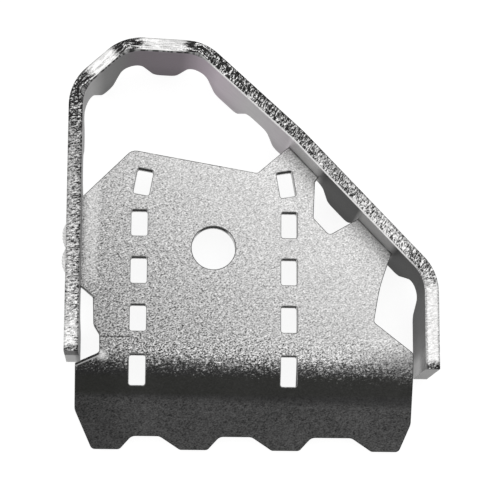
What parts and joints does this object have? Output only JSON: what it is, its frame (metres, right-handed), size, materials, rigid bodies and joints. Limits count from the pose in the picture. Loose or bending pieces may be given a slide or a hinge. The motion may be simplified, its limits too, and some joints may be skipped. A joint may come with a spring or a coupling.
{
  "type": "brake pedal extension",
  "caption": "Motorbike brake pedal foot pad: slotted, bolted sheet web with a toothed front flange, held in a bent flat-bar rim with a toothed edge.",
  "frame": {"origin": "centre of the bolt hole in the plate's upper face, the face that seats on the pedal's end", "axes": "+Z along the bolt hole, away from the grip teeth; -Y towards the toothed flange; +X towards the side where the rim's long slanted side ends"},
  "size_m": [0.0691, 0.0753, 0.0153],
  "materials": {
    "sheet": "fine shot-blasted stainless sheet, darker on the flange",
    "bar": "satin stainless flat bar with a coarse cut edge",
    "weld": "ground-back weld metal"
  },
  "bodies": {
    "root": {"plate": "sheet", "rim": "bar", "left_weld": "weld", "upper_weld": "weld", "lower_weld": "weld"}
  },
  "joints": []
}
